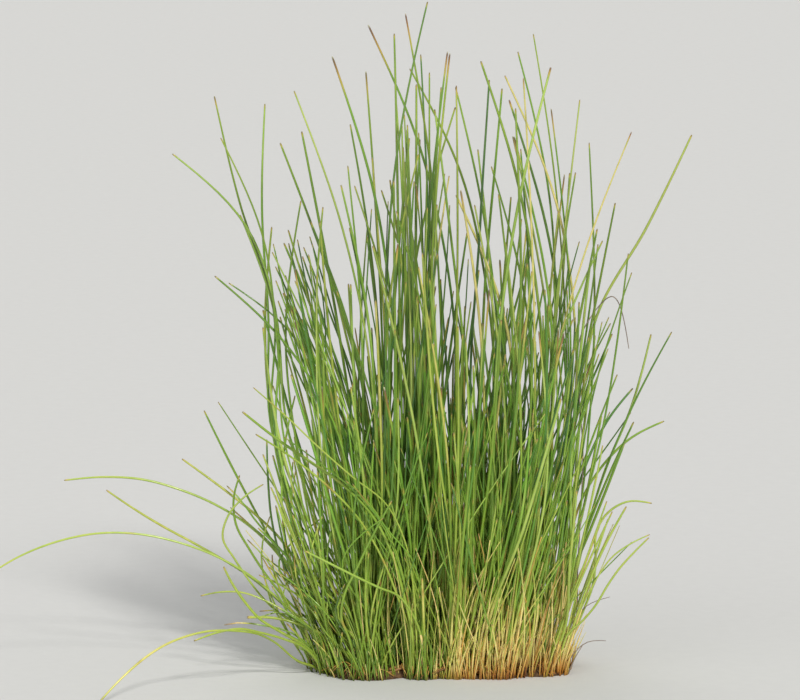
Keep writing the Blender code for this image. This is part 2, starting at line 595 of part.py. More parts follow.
# Rings of the crown from its flat underside up over the rim to the uneven top.
def make_crown(tufts):
    rings = [(0.98, 0), (1, 0.5), (0.97, 0.9), (0.72, 1), (0.38, 1)]
    vertices = []
    for scale, level in rings:
        for step in range(CROWN_RIM_STEPS):
            turn = 2 * math.pi * step / CROWN_RIM_STEPS
            relief = CROWN_RIM_RELIEF * (1 if step % 2 else -1) * (0.6 + 0.4 * noise.noise((step, 0, 0)))
            reach = scale * (crown_reach(turn, tufts) + relief)
            x = PATCH_CENTRE_X + reach * math.cos(turn)
            y = reach * math.sin(turn)
            dip = CROWN_TOP_RELIEF * (0.5 + 0.5 * noise.noise((x * 200, y * 200, 0)))
            vertices.append((x, y, level * (CROWN_THICKNESS - dip) if level else 0))
    faces = [tuple(reversed(range(CROWN_RIM_STEPS)))]
    for ring in range(len(rings) - 1):
        for step in range(CROWN_RIM_STEPS):
            here = ring * CROWN_RIM_STEPS + step
            following = ring * CROWN_RIM_STEPS + (step + 1) % CROWN_RIM_STEPS
            faces.append((here, following, following + CROWN_RIM_STEPS, here + CROWN_RIM_STEPS))
    last = (len(rings) - 1) * CROWN_RIM_STEPS
    vertices.append((PATCH_CENTRE_X, 0, CROWN_THICKNESS - CROWN_TOP_RELIEF / 2))
    for step in range(CROWN_RIM_STEPS):
        faces.append((last + step, last + (step + 1) % CROWN_RIM_STEPS, len(vertices) - 1))
    return make_object("crown", vertices, faces, CROWN_BROWN)


def tuft_colour(tuft):
    if "dead" in tuft.name:
        return DEAD_GREY
    return GREENS[tuft.number % len(GREENS)]


clear_objects()
clump = grow_clump()
make_crown(clump)
for member in clump:
    make = make_tuft if member.places > 1 else make_single_culm
    make(member, tuft_colour(member))
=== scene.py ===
import math
import random

import bpy
import numpy as np
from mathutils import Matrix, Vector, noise


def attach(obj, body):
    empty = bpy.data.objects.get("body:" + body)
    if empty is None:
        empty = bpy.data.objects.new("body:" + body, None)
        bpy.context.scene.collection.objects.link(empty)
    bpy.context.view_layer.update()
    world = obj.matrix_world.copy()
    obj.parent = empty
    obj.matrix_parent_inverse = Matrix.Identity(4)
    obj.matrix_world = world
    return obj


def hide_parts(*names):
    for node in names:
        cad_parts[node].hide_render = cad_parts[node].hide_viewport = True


noise.seed_set(4)  # else noise_vector takes its seed from the clock

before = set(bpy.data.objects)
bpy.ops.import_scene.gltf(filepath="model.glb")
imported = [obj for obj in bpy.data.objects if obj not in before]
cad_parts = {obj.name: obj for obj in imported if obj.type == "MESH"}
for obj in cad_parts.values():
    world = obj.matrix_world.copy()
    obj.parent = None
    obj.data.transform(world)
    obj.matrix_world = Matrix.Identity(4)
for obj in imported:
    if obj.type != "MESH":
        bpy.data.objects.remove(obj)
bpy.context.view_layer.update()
print("frame loaded,", len(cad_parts), "nodes")


# Camera and light. The camera stands far off with a long lens and looks down a little.
cameraSet = {
    "distance": 1.6,
    "elevation": 8,
    "aim": (-0.0102, 0, 0.0730),
    "widthSeen": 0.1818,  # across the picture at the aim
}


def placeCamera():
    tilt = math.radians(cameraSet["elevation"])
    data = bpy.data.cameras.new("plantCamera")
    camera = bpy.data.objects.new("plantCamera", data)
    bpy.context.scene.collection.objects.link(camera)
    aim = np.array(cameraSet["aim"])
    away = np.array([0, -math.cos(tilt), math.sin(tilt)])
    camera.location = aim + away * cameraSet["distance"]
    camera.rotation_euler = (math.pi / 2 - tilt, 0, 0)
    data.lens = data.sensor_width * cameraSet["distance"] / cameraSet["widthSeen"]
    data.clip_start = 0.05
    data.clip_end = 40
    bpy.context.scene.camera = camera


lightSet = {
    "key": {"from": (0.34, -0.80, 0.62), "strength": 2.75, "spread": 7, "colour": (1, 0.98, 0.94)},
    "fill": {"from": (-0.75, -0.95, 0.30), "strength": 0.75, "spread": 60, "colour": (0.96, 0.98, 1)},
    "back": {"from": (-0.25, 0.80, 0.80), "strength": 0.6, "spread": 40, "colour": (1, 0.99, 0.96)},
    "sky": (0.90, 0.91, 0.92),
    "skyStrength": 0.45,
}


def placeLights():
    for name in ("key", "fill", "back"):
        chosen = lightSet[name]
        data = bpy.data.lights.new(name + "Light", "SUN")
        data.energy = chosen["strength"]
        data.angle = math.radians(chosen["spread"])
        data.color = chosen["colour"]
        lamp = bpy.data.objects.new(name + "Light", data)
        bpy.context.scene.collection.objects.link(lamp)
        lamp.location = chosen["from"]
        lamp.rotation_euler = (-Vector(chosen["from"])).to_track_quat("-Z", "Y").to_euler()
    bpy.context.scene.view_settings.view_transform = "Standard"
    world = bpy.data.worlds.new("studio")
    bpy.context.scene.world = world
    world.use_nodes = True
    sky = world.node_tree.nodes["Background"]
    sky.inputs["Color"].default_value = (*lightSet["sky"], 1)
    sky.inputs["Strength"].default_value = lightSet["skyStrength"]


# Shader maths. A Wire is one output of a node, and plain arithmetic on it adds the nodes.
class Wire:
    def __init__(self, tree, socket=None):
        self.tree = tree
        self.socket = socket

    def node(self, kind, settings=None, values=None, output=0):  # any node, its settings first
        made = self.tree.nodes.new(kind)
        for name, value in (settings or {}).items():
            if name == "stops":
                self.setStops(made.color_ramp, value)
            else:
                setattr(made, name, value)
        for name, value in (values or {}).items():
            if isinstance(value, Wire):
                self.tree.links.new(value.socket, made.inputs[name])
            else:
                made.inputs[name].default_value = value
        return Wire(self.tree, made.outputs[output])

    def setStops(self, ramp, stops):
        while len(ramp.elements) < len(stops):
            ramp.elements.new(0.5)
        for element, (place, colour) in zip(ramp.elements, stops):
            element.position = place
            element.color = (*colour, 1)

    def work(self, operation, other, flipped=False):
        pair = (other, self) if flipped else (self, other)
        if self.socket.type == "VALUE":
            return self.node("ShaderNodeMath", {"operation": operation}, dict(enumerate(pair)))
        wide = [value if isinstance(value, Wire) else (value, value, value) for value in pair]
        return self.node("ShaderNodeVectorMath", {"operation": operation}, dict(enumerate(wide)))

    def __add__(self, other):
        return self.work("ADD", other)

    def __radd__(self, other):
        return self.work("ADD", other, True)

    def __sub__(self, other):
        return self.work("SUBTRACT", other)

    def __rsub__(self, other):
        return self.work("SUBTRACT", other, True)

    def __mul__(self, other):
        return self.work("MULTIPLY", other)

    def __rmul__(self, other):
        return self.work("MULTIPLY", other, True)

    def __truediv__(self, other):
        return self.work("DIVIDE", other)

    def __rtruediv__(self, other):
        return self.work("DIVIDE", other, True)

    def step(self, low, high):  # 0 below low, 1 above high, smooth between
        return self.node("ShaderNodeMapRange", {"interpolation_type": "SMOOTHSTEP"},
                         {"Value": self, "From Min": low, "From Max": high})

    def tint(self, colour):
        return self.node("ShaderNodeVectorMath", {"operation": "ADD"}, {0: colour})

    def ramp(self, stops):
        return self.node("ShaderNodeValToRGB", {"stops": stops}, {"Fac": self})

    def over(self, base, mask, mode="MIX"):  # this colour laid over base where mask is 1
        return self.node("ShaderNodeMix", {"data_type": "RGBA", "blend_type": mode},
                         {0: mask, 6: base, 7: self}, 2)


def newFinish(name):
    material = bpy.data.materials.new(name)
    material.use_nodes = True
    tree = material.node_tree
    shader = tree.nodes["Principled BSDF"]
    return material, Wire(tree), shader


def wireUp(tree, shader, links):
    for name, value in links.items():
        if isinstance(value, Wire):
            tree.links.new(value.socket, shader.inputs[name])
        else:
            shader.inputs[name].default_value = value


def mark(wire, name):  # a number that the mesh carries
    return wire.node("ShaderNodeAttribute", {"attribute_name": name}, output="Fac")


# The skin of every culm and sheath: fresh green, straw at some feet, withered tips, and painted shade and
# light that change with height.
culmSkin = {
    "greens": [(0.0, (0.072, 0.180, 0.045)), (0.35, (0.130, 0.280, 0.036)),
               (0.7, (0.225, 0.390, 0.042)), (1.0, (0.450, 0.590, 0.130))],
    "drift": 0.8,  # how far the green wanders along a culm, and its fine mottling
    "mottle": 0.35,
    "casts": [(0.32, (0.84, 1.0, 0.86)), (0.5, (0.93, 0.93, 0.93)),  # each culm's own, cool to warm
              (0.68, (1.0, 0.92, 0.78))],
    "gain": 1.5,
    "heights": [(0.37, (0.715, 0.715, 0.715)), (0.60, (0.605, 0.570, 0.565)),  # painted shade, deeper in the upper half, and less of it near the tips
                (0.73, (0.605, 0.570, 0.565)), (0.84, (0.930, 0.800, 0.930))],  # paler near the tips
    "tallest": 0.15,  # the height where the stops of heights end
    "olive": (0.290, 0.350, 0.046),  # fresh culms turn to this olive towards the ground: their own tone, and painted light that lifts the lower culms
    "oliveTall": 0.060,
    "oliveShares": (0.22, 0.5),  # of the deepest green, and what the palest has more
    "straws": [(0.0, (0.280, 0.430, 0.050)), (0.2, (0.480, 0.510, 0.090)), (0.45, (0.820, 0.680, 0.260)),
               (0.68, (0.660, 0.400, 0.085)), (0.86, (0.300, 0.135, 0.032)), (1.0, (0.120, 0.052, 0.022))],
    "tips": [(0.0, (0.260, 0.400, 0.050)), (0.3, (0.480, 0.480, 0.080)), (0.6, (0.560, 0.370, 0.090)),
             (0.82, (0.310, 0.150, 0.065)), (0.94, (0.190, 0.110, 0.085)), (1.0, (0.600, 0.580, 0.420))],
    "blemishes": [(0.62, (0.480, 0.420, 0.070)), (0.74, (0.330, 0.170, 0.045))],  # yellow to brown
    "blemish": 0.75,
    "blemishFades": (0.030, 0.110),  # between these heights
    "streaks": 0.45,
    "dimmer": 0.20,  # painted shade: how much deeper all colours are above the feet, and where that sets in
    "dimmerRises": (0.015, 0.075),
    "stains": ((0.52, 0.46, 0.28), (0.62, 0.40, 0.20)),  # darker and browner at the ground, at the left and the right: the feet's own brown with painted shade
    "stainTall": 0.0062,
    "roughness": (0.24, 0.55),  # fresh, dry
    "reliefDepth": 0.00004,
}


def makeCulmSkin():
    material, wire, shader = newFinish("culmSkin")
    place = wire.node("ShaderNodeTexCoord", output="Object")
    stem = wire.node("ShaderNodeUVMap", {"uv_map": "stem"})
    shade = mark(wire, "shade")
    straw = mark(wire, "straw")
    tip = mark(wire, "tip")
    withered = mark(wire, "withered")
    mottle = wire.node("ShaderNodeTexNoise", {}, {"Vector": place, "Scale": 160, "Detail": 3}, "Fac")
    drift = wire.node("ShaderNodeTexNoise", {}, {"Vector": place, "Scale": 28, "Detail": 2}, "Fac")
    longwise = wire.node("ShaderNodeMapping", {}, {"Vector": stem, "Scale": (9, 60, 1)})
    streak = wire.node("ShaderNodeTexNoise", {}, {"Vector": longwise, "Scale": 1, "Detail": 4}, "Fac")
    height = wire.node("ShaderNodeSeparateXYZ", {}, {"Vector": place}, "Z")
    fresh = shade + (drift - 0.5) * culmSkin["drift"] + (mottle - 0.5) * culmSkin["mottle"]
    own = wire.node("ShaderNodeTexNoise", {"noise_dimensions": "1D"},
                    {"W": shade * 90, "Scale": 1, "Detail": 0}, "Fac")
    fresh = fresh.ramp(culmSkin["greens"]) * own.ramp(culmSkin["casts"]) * culmSkin["gain"]
    # painted shade: colours deeper over the upper half, less so near the tips
    fresh = fresh * (height / culmSkin["tallest"]).ramp(culmSkin["heights"])
    # painted light with the culms' own olive: lower culms lifted towards a paler olive
    low = 1 - (height + (mottle - 0.5) * 0.02).step(0, culmSkin["oliveTall"])
    least, more = culmSkin["oliveShares"]
    fresh = wire.tint(culmSkin["olive"]).over(fresh, low * (shade * more + least))
    dry = (straw + (mottle - 0.5) * 0.3 + (streak - 0.5) * 0.3).ramp(culmSkin["straws"])
    colour = dry.over(fresh, (straw + (mottle - 0.5) * straw).step(0.03, 0.3))
    tipColour = (tip + (streak - 0.5) * 0.25).ramp(culmSkin["tips"])
    colour = tipColour.over(colour, tip.step(0, 0.4) * withered)
    patches = wire.node("ShaderNodeTexNoise", {"noise_dimensions": "4D"},
                        {"Vector": place, "W": shade * 60, "Scale": 130, "Detail": 2}, "Fac")
    tired = patches.step(0.62, 0.70) * (1 - height.step(*culmSkin["blemishFades"])) * culmSkin["blemish"]
    colour = patches.ramp(culmSkin["blemishes"]).over(colour, tired)
    # painted shade: all colours deeper above the feet
    shadedAbove = height.step(*culmSkin["dimmerRises"]) * culmSkin["dimmer"]
    colour = colour * ((streak - 0.5) * culmSkin["streaks"] + 1.03 - shadedAbove)
    across = wire.node("ShaderNodeSeparateXYZ", {}, {"Vector": place}, "X")
    golden = across.step(culmForm["strawFrom"], culmForm["strawFull"])
    # painted shade near the ground, with the feet's own brown: colours multiplied darker in the lowest few
    # millimetres
    left, right = (wire.tint(footTint) for footTint in culmSkin["stains"])
    aboveFootShade = (height * (2 - golden) + (mottle - 0.5) * 0.004).step(0, culmSkin["stainTall"])
    footShaded = colour.over(right.over(left, golden), 1.0, "MULTIPLY")
    colour = colour.over(footShaded, aboveFootShade)
    sleek, matt = culmSkin["roughness"]
    rough = straw.step(0.1, 0.7) * (matt - sleek) + (mottle - 0.5) * 0.14 + sleek
    relief = wire.node("ShaderNodeBump", {}, {"Height": streak, "Strength": 0.6,
                                              "Distance": culmSkin["reliefDepth"]})
    wireUp(wire.tree, shader, {"Base Color": colour, "Roughness": rough, "Normal": relief,
                               "Specular IOR Level": 0.5, "Subsurface Weight": 0.12,
                               "Subsurface Scale": 0.0006, "Subsurface Radius": (0.5, 1.0, 0.2)})
    return material


# Withered threads: thin, matt and grey brown.
witheredSkin = {
    "greys": [(0.25, (0.120, 0.095, 0.080)), (0.5, (0.230, 0.180, 0.145)), (0.8, (0.380, 0.310, 0.240))],
    "roughness": 0.7,
}


def makeWitheredSkin():
    material, wire, shader = newFinish("witheredSkin")
    place = wire.node("ShaderNodeTexCoord", output="Object")
    mottle = wire.node("ShaderNodeTexNoise", {}, {"Vector": place, "Scale": 260, "Detail": 4}, "Fac")
    wireUp(wire.tree, shader, {"Base Color": mottle.ramp(witheredSkin["greys"]),
                               "Roughness": (mottle - 0.5) * 0.2 + witheredSkin["roughness"],
                               "Specular IOR Level": 0.3})
    return material


# The mat of rhizomes and old stem bases, and the fine roots in it.
crownSkin = {
    "browns": [(0.0, (0.020, 0.012, 0.007)), (0.4, (0.070, 0.038, 0.018)),
               (0.7, (0.160, 0.088, 0.038)), (1.0, (0.300, 0.190, 0.085))],
    "reliefDepth": 0.0006,
}


def makeCrownSkin():
    material, wire, shader = newFinish("crownSkin")
    place = wire.node("ShaderNodeTexCoord", output="Object")
    strands = wire.node("ShaderNodeTexNoise", {}, {"Vector": place, "Scale": 420, "Detail": 6,
                                                   "Distortion": 2.5}, "Fac")
    clods = wire.node("ShaderNodeTexNoise", {}, {"Vector": place, "Scale": 110, "Detail": 4}, "Fac")
    colour = (strands * 0.75 + clods * 0.55 - 0.15).ramp(crownSkin["browns"])
    relief = wire.node("ShaderNodeBump", {}, {"Height": strands + clods * 0.5, "Strength": 0.9,
                                              "Distance": crownSkin["reliefDepth"]})
    wireUp(wire.tree, shader, {"Base Color": colour, "Roughness": clods * 0.2 + 0.72, "Normal": relief,
                               "Specular IOR Level": 0.25})
    return material


floorSkin = {"colour": (0.62, 0.62, 0.61), "roughness": 0.85}


def makeFloor():
    mesh = bpy.data.meshes.new("floor")
    reach = 9
    mesh.from_pydata([(-reach, -reach, 0), (reach, -reach, 0), (reach, reach, 0), (-reach, reach, 0)],
                     [], [(0, 1, 2, 3)])
    floor = bpy.data.objects.new("floor", mesh)
    bpy.context.scene.collection.objects.link(floor)
    material, wire, shader = newFinish("floorSkin")
    place = wire.node("ShaderNodeTexCoord", output="Object")
    grain = wire.node("ShaderNodeTexNoise", {}, {"Vector": place, "Scale": 300, "Detail": 2}, "Fac")
    base = floorSkin["colour"]
    pale = grain.ramp([(0.3, tuple(value * 0.98 for value in base)), (0.7, base)])
    wireUp(wire.tree, shader, {"Base Color": pale, "Roughness": floorSkin["roughness"],
                               "Specular IOR Level": 0.2})
    mesh.materials.append(material)


# Tubes collect in a bundle and become one mesh, each tube a closed skin with a strip of its own
# on the bake's map.
class Bundle:
    def __init__(self):
        self.points = []
        self.faces = []
        self.maps = []  # (across, along) for each face corner, in metres along
        self.owners = []  # the tube of each face corner
        self.lengths = []
        self.marks = {"shade": [], "straw": [], "tip": [], "withered": []}
        self.count = 0

    def addTube(self, path, radii, sides, ridge=0.0, slant=0.0, hollow=0.0, **marks):
        rings = len(path)
        along = np.gradient(path, axis=0)
        along /= np.linalg.norm(along, axis=1)[:, None]
        side = np.array([math.cos(self.count), math.sin(self.count), 0.1])
        turns = np.arange(sides) * 2 * math.pi / sides
        shape = 1 + ridge * np.cos(turns * sides / 2)
        start = self.count
        for index in range(rings):
            side = side - along[index] * np.dot(side, along[index])
            side /= np.linalg.norm(side)
            across = np.cross(along[index], side)
            reach = radii[index] * shape
            ring = (path[index] + np.outer(reach * np.cos(turns), side)
                    + np.outer(reach * np.sin(turns), across))
            if index == 0 and path[0][2] == 0:  # cut flat at the ground
                ring -= np.outer(ring[:, 2], along[0]) / along[0][2]
            if index == rings - 1:
                ring += np.outer(np.cos(turns) * slant, along[index])
            self.points.append(ring)
        sink = along[-1] * (-hollow if hollow else radii[-1] * 0.5)
        self.points.append(np.array([path[0], path[-1] + sink]))
        length = np.concatenate([[0], np.cumsum(np.linalg.norm(np.diff(path, axis=0), axis=1))])
        owner = len(self.lengths)
        edge = radii[0]
        for index in range(rings - 1):
            low, high = start + index * sides, start + (index + 1) * sides
            for step in range(sides):
                following = (step + 1) % sides
                self.faces.append((low + step, low + following, high + following, high + step))
                left, right = step / sides, (step + 1) / sides
                below, above = edge + length[index], edge + length[index + 1]
                self.maps += [(left, below), (right, below), (right, above), (left, above)]
        foot, top = start + rings * sides, start + rings * sides + 1
        last = start + (rings - 1) * sides
        whole = edge + length[-1]
        for step in range(sides):
            following = (step + 1) % sides
            left, right = step / sides, (step + 1) / sides
            middle = (left + right) / 2
            self.faces.append((start + following, start + step, foot))
            self.maps += [(right, edge), (left, edge), (middle, 0)]
            self.faces.append((last + step, last + following, top))
            self.maps += [(left, whole), (right, whole), (middle, whole + edge)]
        self.owners += [owner] * (4 * sides * (rings - 1) + 6 * sides)
        self.lengths.append(whole + edge)
        for name, kept in self.marks.items():
            value = np.broadcast_to(marks.get(name, 0.0), (rings,))
            kept.append(np.repeat(value, sides))
            kept.append(np.array([value[0], value[-1]]))
        self.count += rings * sides + 2

    def columns(self):  # each tube's column on the map and its start there, the longest first
        order = sorted(range(len(self.lengths)), key=lambda index: -self.lengths[index])
        room = self.lengths[order[0]] * 1.02
        filled = []
        spots = [None] * len(order)
        gap = room * 0.01
        for index in order:
            need = self.lengths[index] + gap
            column = next((n for n, used in enumerate(filled) if used + need <= room + gap), None)
            if column is None:
                column = len(filled)
                filled.append(0.0)
            spots[index] = (column, filled[column])
            filled[column] += need
        return np.array(spots), len(filled), room

    def build(self, name, material):
        mesh = bpy.data.meshes.new(name)
        mesh.from_pydata(np.concatenate(self.points).tolist(), [], self.faces)
        places = np.array(self.maps)
        owners = np.array(self.owners)
        stem = mesh.uv_layers.new(name="stem")
        stem.data.foreach_set("uv", (places * (1, 10)).astype(np.float32).ravel())
        spots, count, room = self.columns()
        across = (spots[owners, 0] + 0.06 + 0.88 * places[:, 0]) / count
        upward = (spots[owners, 1] + places[:, 1]) / room
        baked = mesh.uv_layers.new(name="OFBake")
        spots = np.stack([across, upward * 0.98 + 0.01], 1).astype(np.float32)
        baked.data.foreach_set("uv", spots.ravel())
        for markName, kept in self.marks.items():
            layer = mesh.attributes.new(markName, "FLOAT", "POINT")
            layer.data.foreach_set("value", np.concatenate(kept).astype(np.float32))
        mesh.polygons.foreach_set("use_smooth", [True] * len(mesh.polygons))
        mesh.materials.append(material)
        mesh.update()
        piece = bpy.data.objects.new(name, mesh)
        bpy.context.scene.collection.objects.link(piece)
        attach(piece, "root")
        return piece


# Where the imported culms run. Each is a chain of three-cornered rings from its foot to its tip.
footLevels = (0.0033, 0.0045)  # underside and top of a tuft's foot


def readCulms(node):
    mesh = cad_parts[node].data
    spots = {}
    corners = [spots.setdefault(tuple(round(value * 1e7) for value in vertex.co), len(spots))
               for vertex in mesh.vertices]
    places = np.array(list(spots)) / 1e7
    near = [set() for place in places]
    for edge in mesh.edges:
        first, second = (corners[index] for index in edge.vertices)
        near[first].add(second)
        near[second].add(first)
    footed = np.abs(places[:, 2:] - footLevels).min(1) < 2e-6
    culms = []
    for tip in range(len(places)):
        if footed[tip] or len(near[tip]) != 3:
            continue
        seen = {tip}
        ring = near[tip]
        route = [places[tip]]
        while True:
            route.append(places[list(ring)].mean(0))
            if footed[list(ring)].all():
                break
            seen |= ring
            ring = set().union(*(near[index] for index in ring)) - seen
        if len(route) > 2:
            culms.append(np.array(route[::-1]))
    return sorted(culms, key=lambda culm: tuple(culm[-1]))


def smoothPath(points, spacing):  # an even path along a smooth curve through the points
    points = np.asarray(points, float)
    steps = np.linalg.norm(np.diff(points, axis=0), axis=1)
    slopes = np.diff(points, axis=0) / steps[:, None]
    if len(points) > 2:
        weights = (steps[1:] / (steps[1:] + steps[:-1]))[:, None]
        inner = slopes[:-1] * weights + slopes[1:] * (1 - weights)
        tangents = np.concatenate([[1.5 * slopes[0] - 0.5 * inner[0]], inner,
                                   [1.5 * slopes[-1] - 0.5 * inner[-1]]])
    else:
        tangents = np.concatenate([slopes, slopes])
    knots = np.concatenate([[0], np.cumsum(steps)])
    count = max(3, int(math.ceil(knots[-1] / spacing)) + 1)
    where = np.linspace(0, knots[-1], count)
    span = np.clip(np.searchsorted(knots, where, side="right") - 1, 0, len(steps) - 1)
    length = steps[span][:, None]
    t = ((where - knots[span]) / steps[span])[:, None]
    return (points[span] * (2 * t**3 - 3 * t**2 + 1) + tangents[span] * length * (t**3 - 2 * t**2 + t)
            + points[span + 1] * (3 * t**2 - 2 * t**3) + tangents[span + 1] * length * (t**3 - t**2))


def grounded(route):  # the route from the cut at the ground
    lean = route[1] - route[0]
    under = route[0] - lean * route[0][2] / max(lean[2], 1e-4) * 0.6
    return np.concatenate([[(under[0], under[1], 0)], route])


# Culms: how thick, how wavy and how coloured each one is.
culmForm = {
    "spacing": 0.0034,
    "sides": 8,
    "radius": 0.00026,
    "radiusSpread": 0.12,
    "ridge": 0.05,
    "sway": 0.00035,
    "swayScale": 28,
    "taperStart": 0.8,
    "tipShare": 0.74,
    "tipRings": ((0.0021, 1), (0.0010, 0.97), (0.0004, 0.88), (0.0001, 0.62)),  # to the end, and how thick
    "witheredShare": 0.18,
    "witheredReach": (0.004, 0.015),
    "witheredTips": [  # those that are seen, across and up, and how far down they are withered
        ((-0.0252, 0.1382), 0.012), ((-0.0180, 0.1355), 0.009), ((-0.0175, 0.1461), 0.015),
        ((-0.0089, 0.1486), 0.011), ((-0.0520, 0.1295), 0.004), ((0.0005, 0.1395), 0.008),
        ((0.0175, 0.1336), 0.004), ((0.0236, 0.1359), 0.003), ((0.0241, 0.1268), 0.009),
        ((0.0143, 0.1286), 0.003), ((0.0155, 0.1207), 0.008), ((0.0418, 0.1211), 0.004),
        ((0.0025, 0.1325), 0.003)],
    "sameTip": 0.0012,  # a tip this near to a named one is that one
    "freshAbove": 0.118,  # seen tips above this are fresh unless named, and those far out
    "freshBeyond": 0.037,
    "strawFrom": -0.005,  # across, where the golden feet begin
    "strawFull": 0.006,
    "strawHeights": (0.011, 0.032),
    "aside": 0.35,  # outside the regular tufts, the share of the spacing and of the gold at the feet
    "darker": 7,  # painted shade: how much darker a culm is for each metre farther back
    "light": ("long_left_culm", "flat_left_culm", "grounded_culm", "hooked_culm", "long_right_culm",
              "bent_right_culm", "low_right_tuft"),
    "lightShade": 0.95,
    "lightYellow": 0.15,
    "yellowShare": 0.08,
    "yellowness": (0.10, 0.32),
    "golden": 0.36,  # those with these tips
    "goldenTips": [(0.0134, 0.1345), (0.0177, 0.1336), (0.0420, 0.1214), (0.0011, 0.1118),
                   (0.0027, 0.1077), (-0.0150, 0.0407)],
}


def seenFromFront(point):  # across and up as the camera sees it
    tilt = math.radians(cameraSet["elevation"])
    return np.array([point[0], point[2] * math.cos(tilt) + point[1] * math.sin(tilt)])


def sameTip(seen, spot):
    return np.hypot(*(seen - spot)) < culmForm["sameTip"]


def strawZone(x):  # how golden the feet are at this place across
    t = min(max((x - culmForm["strawFrom"]) / (culmForm["strawFull"] - culmForm["strawFrom"]), 0), 1)
    return t * t * (3 - 2 * t)


def swayed(path, rng):  # a slight unevenness, none at the foot and the tip
    reach = culmForm["sway"] * rng.uniform(0.3, 1.2)
    shift = rng.uniform(0, 100)
    t = np.linspace(0, 1, len(path))
    heights = path[:, 2] * culmForm["swayScale"]
    drift = np.array([noise.noise_vector((shift, height, 3.7)) for height in heights])
    return path + drift * (reach * 4 * t * (1 - t))[:, None] * (1, 1, 0)


def ended(path):  # rings close together near the end, which is blunt and round
    steps = np.linalg.norm(np.diff(path, axis=0), axis=1)
    back = np.concatenate([np.cumsum(steps[::-1])[::-1], [0]])
    tail = [distance for distance, share in culmForm["tipRings"]]
    kept = back > tail[0] * 1.3
    order = np.concatenate([back[kept], tail])
    return np.array([np.interp(-order, -back, path[:, side]) for side in range(3)]).T, order


def growCulm(bundle, route, rng, radius, shade, yellow=0.0, dead=0.0,
             spacing=culmForm["spacing"], gold=1.0):
    path, back = ended(swayed(smoothPath(grounded(route), spacing), rng))
    along = 1 - back / back[0]
    thin = np.clip((along - culmForm["taperStart"]) / (1 - culmForm["taperStart"]), 0, 1)
    radii = radius * (1 - (1 - culmForm["tipShare"]) * thin)
    radii[-len(culmForm["tipRings"]):] *= [share for distance, share in culmForm["tipRings"]]
    heights = path[:, 2]
    low, high = culmForm["strawHeights"]
    tall = rng.uniform(low, high)
    golden = gold * strawZone(route[0][0]) * rng.uniform(0.15, 0.75)
    golden = golden * np.clip(1 - heights / tall, 0, 1) ** 0.6
    dry = np.maximum(golden, yellow * np.clip(along * 2.2 - 0.5, 0, 1))
    reach, withered = (dead, rng.uniform(0.7, 1)) if dead else (0.0015, 0.7)
    bundle.addTube(path, radii, culmForm["sides"], ridge=culmForm["ridge"], shade=shade, straw=dry,
                   tip=np.clip(1 - back / reach, 0, 1), withered=withered)


def deadReach(route, rng, share):  # how far down from its tip a culm is withered
    seen = seenFromFront(route[-1])
    for spot, reach in culmForm["witheredTips"]:
        if sameTip(seen, spot):
            return reach
    fresh = seen[1] > culmForm["freshAbove"] or abs(seen[0]) > culmForm["freshBeyond"]
    if fresh or rng.random() > share:
        return 0
    return rng.uniform(*culmForm["witheredReach"])


def paleness(point, rng):  # the shade of a culm, with painted shade that makes those at the back a little darker
    return min(max(rng.gauss(0.56, 0.26) - point[1] * culmForm["darker"], 0), 1)


# Papery sheaths round the feet, each a short tube with a slanting mouth.
sheathForm = {"tall": (0.003, 0.011), "radii": (0.00038, 0.00031)}


def growSheath(bundle, route, rng):
    path = smoothPath(grounded(route)[:4], 0.0011)
    path = path[path[:, 2] < rng.uniform(*sheathForm["tall"])]
    t = np.linspace(0, 1, len(path))
    zone = strawZone(route[0][0])
    wide, narrow = sheathForm["radii"]
    radii = (wide + (narrow - wide) * t**0.6) * rng.uniform(0.92, 1.1)
    base = 0.05 + zone * rng.uniform(0.2, 0.6) + (0.42 if rng.random() > 0.8 else 0) * (1 - zone)
    straw = base + 0.25 * zone * np.clip(1 - path[:, 2] / 0.005, 0, 1)
    bundle.addTube(path, radii, 8, ridge=0.04, slant=rng.uniform(0.0003, 0.0008), hollow=0.0004,
                   shade=rng.uniform(0.3, 0.9), straw=np.clip(straw, 0, 0.95))


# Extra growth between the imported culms: thinner culms that fill the lower half, and dry straws.
fillForm = {
    "culmsEach": 8,
    "culmsAtRim": 4,  # in the tufts at the far left
    "culmsAside": (5, 2),  # in the outlying tufts at the left and the right
    "witheredShare": 0.06,
    "rimFrom": -0.021,
    "crossingEach": (9, 26),  # thin ones that lean across the others, inside and at the front and back
    "outerFrom": 0.006,  # how far from the middle the front and the back begin
    "crossingLean": 0.26,
    "crossingTall": (0.012, 0.062),
    "crossingRadius": (0.00011, 0.00020),
    "radius": (0.00015, 0.00024),
    "reach": (0.22, 0.74),
    "tallReach": (0.50, 0.98),
    "tallFeet": (-0.016, -0.003),  # across, the tufts whose fill reaches higher
    "shortReach": (0.20, 0.54),
    "shortFeet": (0.001, 0.021),
    "nearTufts": 0.0135,
    "lean": 0.12,
    "inward": 0.012,  # culms farther from the middle than this lean only towards it
    "strawsEach": (6, 17),  # at the left, at the right
    "strawsAside": (4, 4),
    "strawTall": (0.006, 0.034),
    "strawRadius": (0.00011, 0.00022),
    "strawOff": 0.0036,  # how far from the tuft's foot a straw stands
    "strawRim": (-0.031, 0.0265),  # no straw stands farther out than this
    "strawTones": ((0.10, 0.28), (0.28, 0.52), (0.28, 0.52), (0.55, 0.80)),
}


def even(route, reach, count):  # the first part of a route as so many even points
    path = smoothPath(route, 0.004)
    where = np.linspace(0, (len(path) - 1) * reach, count)
    return np.array([np.interp(where, np.arange(len(path)), path[:, side]) for side in range(3)]).T


